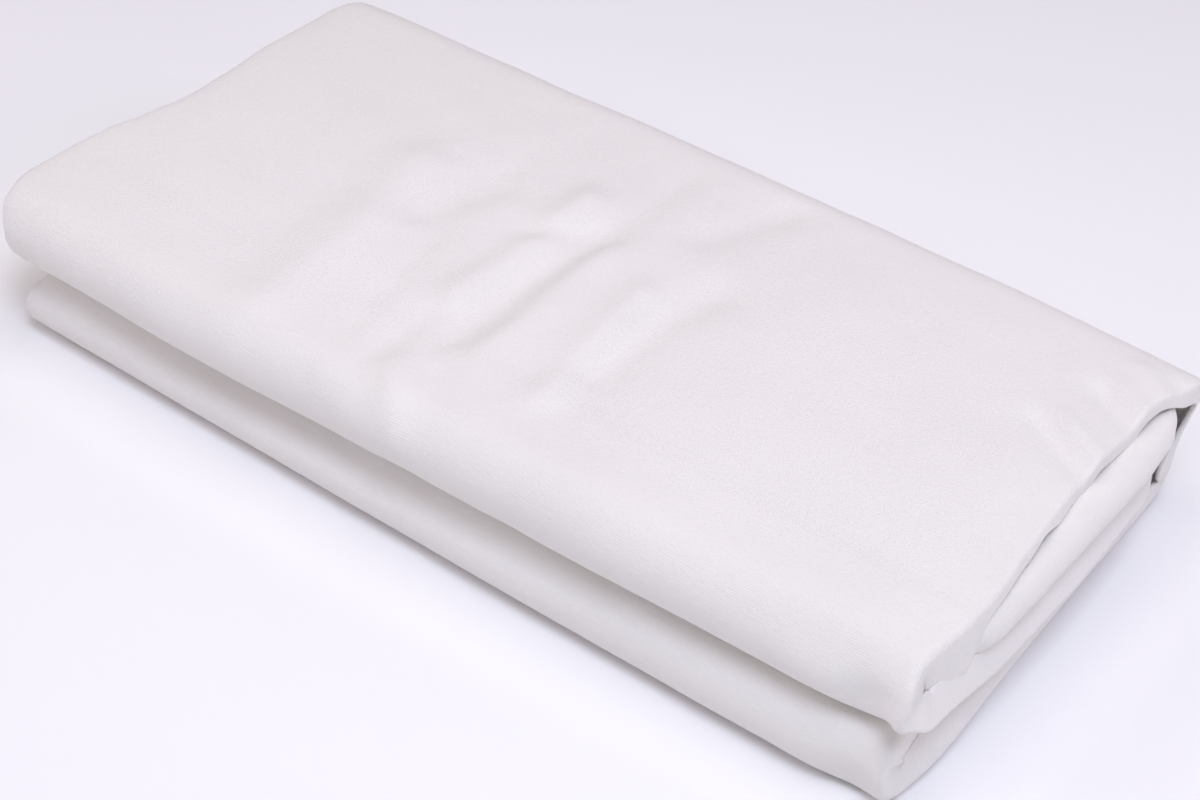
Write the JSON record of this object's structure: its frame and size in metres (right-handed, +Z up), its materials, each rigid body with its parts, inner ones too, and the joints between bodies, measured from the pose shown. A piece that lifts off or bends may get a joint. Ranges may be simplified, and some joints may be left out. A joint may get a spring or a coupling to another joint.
{
  "type": "folded pillow cover",
  "caption": "Long white cotton pillow cover folded into a flat rectangular stack, with soft rounded folds along the front and open layered edges at one end.",
  "frame": {"origin": "middle of the footprint, on the surface that the folded cover lies on", "axes": "+X along the long side to the end with the open edges, +Y from the rounded front to the back, +Z up"},
  "size_m": [0.3408, 0.1808, 0.056],
  "materials": {
    "cotton_sateen": "soft matt woven cotton, near white with a faint cool pink cast"
  },
  "bodies": {
    "root": {"pillow_cover": "cotton_sateen"}
  },
  "joints": []
}
